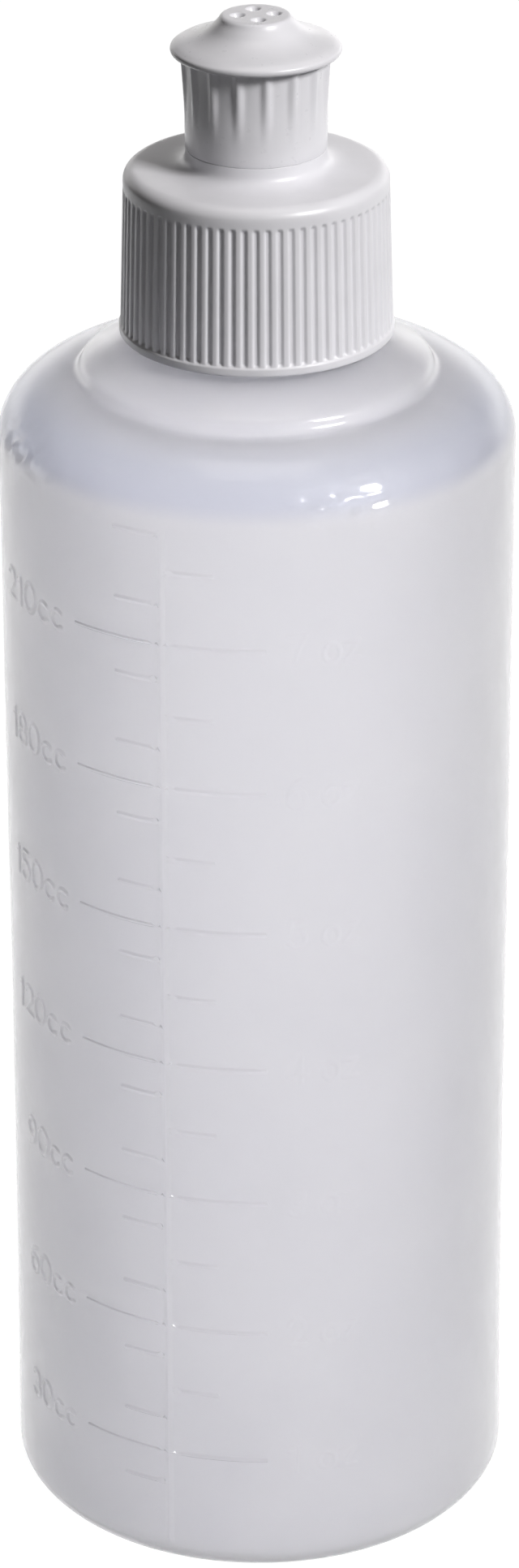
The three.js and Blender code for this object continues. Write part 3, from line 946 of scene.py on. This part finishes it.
def make_world():
    """White to the camera. To everything else it is a dim room with a bright wall behind the object."""
    w = bpy.data.worlds.new("world")
    w.use_nodes = True
    nt = w.node_tree
    nt.nodes.clear()
    out = nt.nodes.new("ShaderNodeOutputWorld")
    seen = nt.nodes.new("ShaderNodeBackground")
    seen.inputs["Color"].default_value = (1, 1, 1, 1)
    seen.inputs["Strength"].default_value = 1.0
    co = nt.nodes.new("ShaderNodeTexCoord").outputs["Generated"]
    xyz = nt.nodes.new("ShaderNodeSeparateXYZ")
    nt.links.new(co, xyz.inputs["Vector"])

    def between(socket, lo, hi, to_lo=0.0, to_hi=1.0):
        r = nt.nodes.new("ShaderNodeMapRange")
        r.interpolation_type = "SMOOTHSTEP"
        for k, v in (("From Min", lo), ("From Max", hi), ("To Min", to_lo), ("To Max", to_hi)):
            r.inputs[k].default_value = v
        nt.links.new(socket, r.inputs["Value"])
        return r.outputs["Result"]

    def math_node(op, a, b):
        n = nt.nodes.new("ShaderNodeMath")
        n.operation = op
        for i, v in enumerate((a, b)):
            if isinstance(v, (int, float)):
                n.inputs[i].default_value = v
            else:
                nt.links.new(v, n.inputs[i])
        return n.outputs["Value"]

    wall = math_node("MULTIPLY", between(xyz.outputs["Y"], 0.5, 0.8), between(xyz.outputs["Z"], 0.4, 0.1))
    path = nt.nodes.new("ShaderNodeLightPath")
    outside = math_node("LESS_THAN", path.outputs["Transmission Depth"], 0.5)
    mirrored = math_node("ADD", math_node("MULTIPLY", math_node("MULTIPLY", path.outputs["Is Glossy Ray"], outside), 1.1), 1.0)
    room = math_node("ADD", math_node("MULTIPLY", math_node("MULTIPLY", wall, mirrored), WALL_LIGHT), ROOM_LIGHT)
    sides = math_node("ADD", math_node("MULTIPLY", math_node("ABSOLUTE", xyz.outputs["X"], 0.0), 0.5), math_node("MULTIPLY", between(xyz.outputs["X"], 0.3, -0.7), 0.55))
    paper = math_node("MULTIPLY", path.outputs["Is Transmission Ray"], math_node("MULTIPLY", math_node("ADD", sides, 0.92), PAPER_THROUGH))
    total = math_node("MAXIMUM", room, paper)
    lit = nt.nodes.new("ShaderNodeBackground")
    lit.inputs["Color"].default_value = (0.99, 0.98, 0.97, 1)
    nt.links.new(total, lit.inputs["Strength"])
    mix = nt.nodes.new("ShaderNodeMixShader")
    nt.links.new(path.outputs["Is Camera Ray"], mix.inputs["Fac"])
    nt.links.new(lit.outputs["Background"], mix.inputs[1])
    nt.links.new(seen.outputs["Background"], mix.inputs[2])
    nt.links.new(mix.outputs["Shader"], out.inputs["Surface"])
    w.cycles.sampling_method = "NONE"
    bpy.context.scene.world = w
make_world()
scene = bpy.context.scene
scene.view_settings.view_transform = "Standard"
scene.view_settings.look = "None"
scene.view_settings.exposure = 0.0
scene.view_settings.gamma = 1.0
scene.cycles.max_bounces = 11
scene.cycles.diffuse_bounces = 3
scene.cycles.glossy_bounces = 3
scene.cycles.transmission_bounces = 8
scene.cycles.transparent_max_bounces = 12
scene.cycles.use_denoising = True
scene.cycles.sample_clamp_indirect = 6.0
scene.cycles.caustics_reflective = False
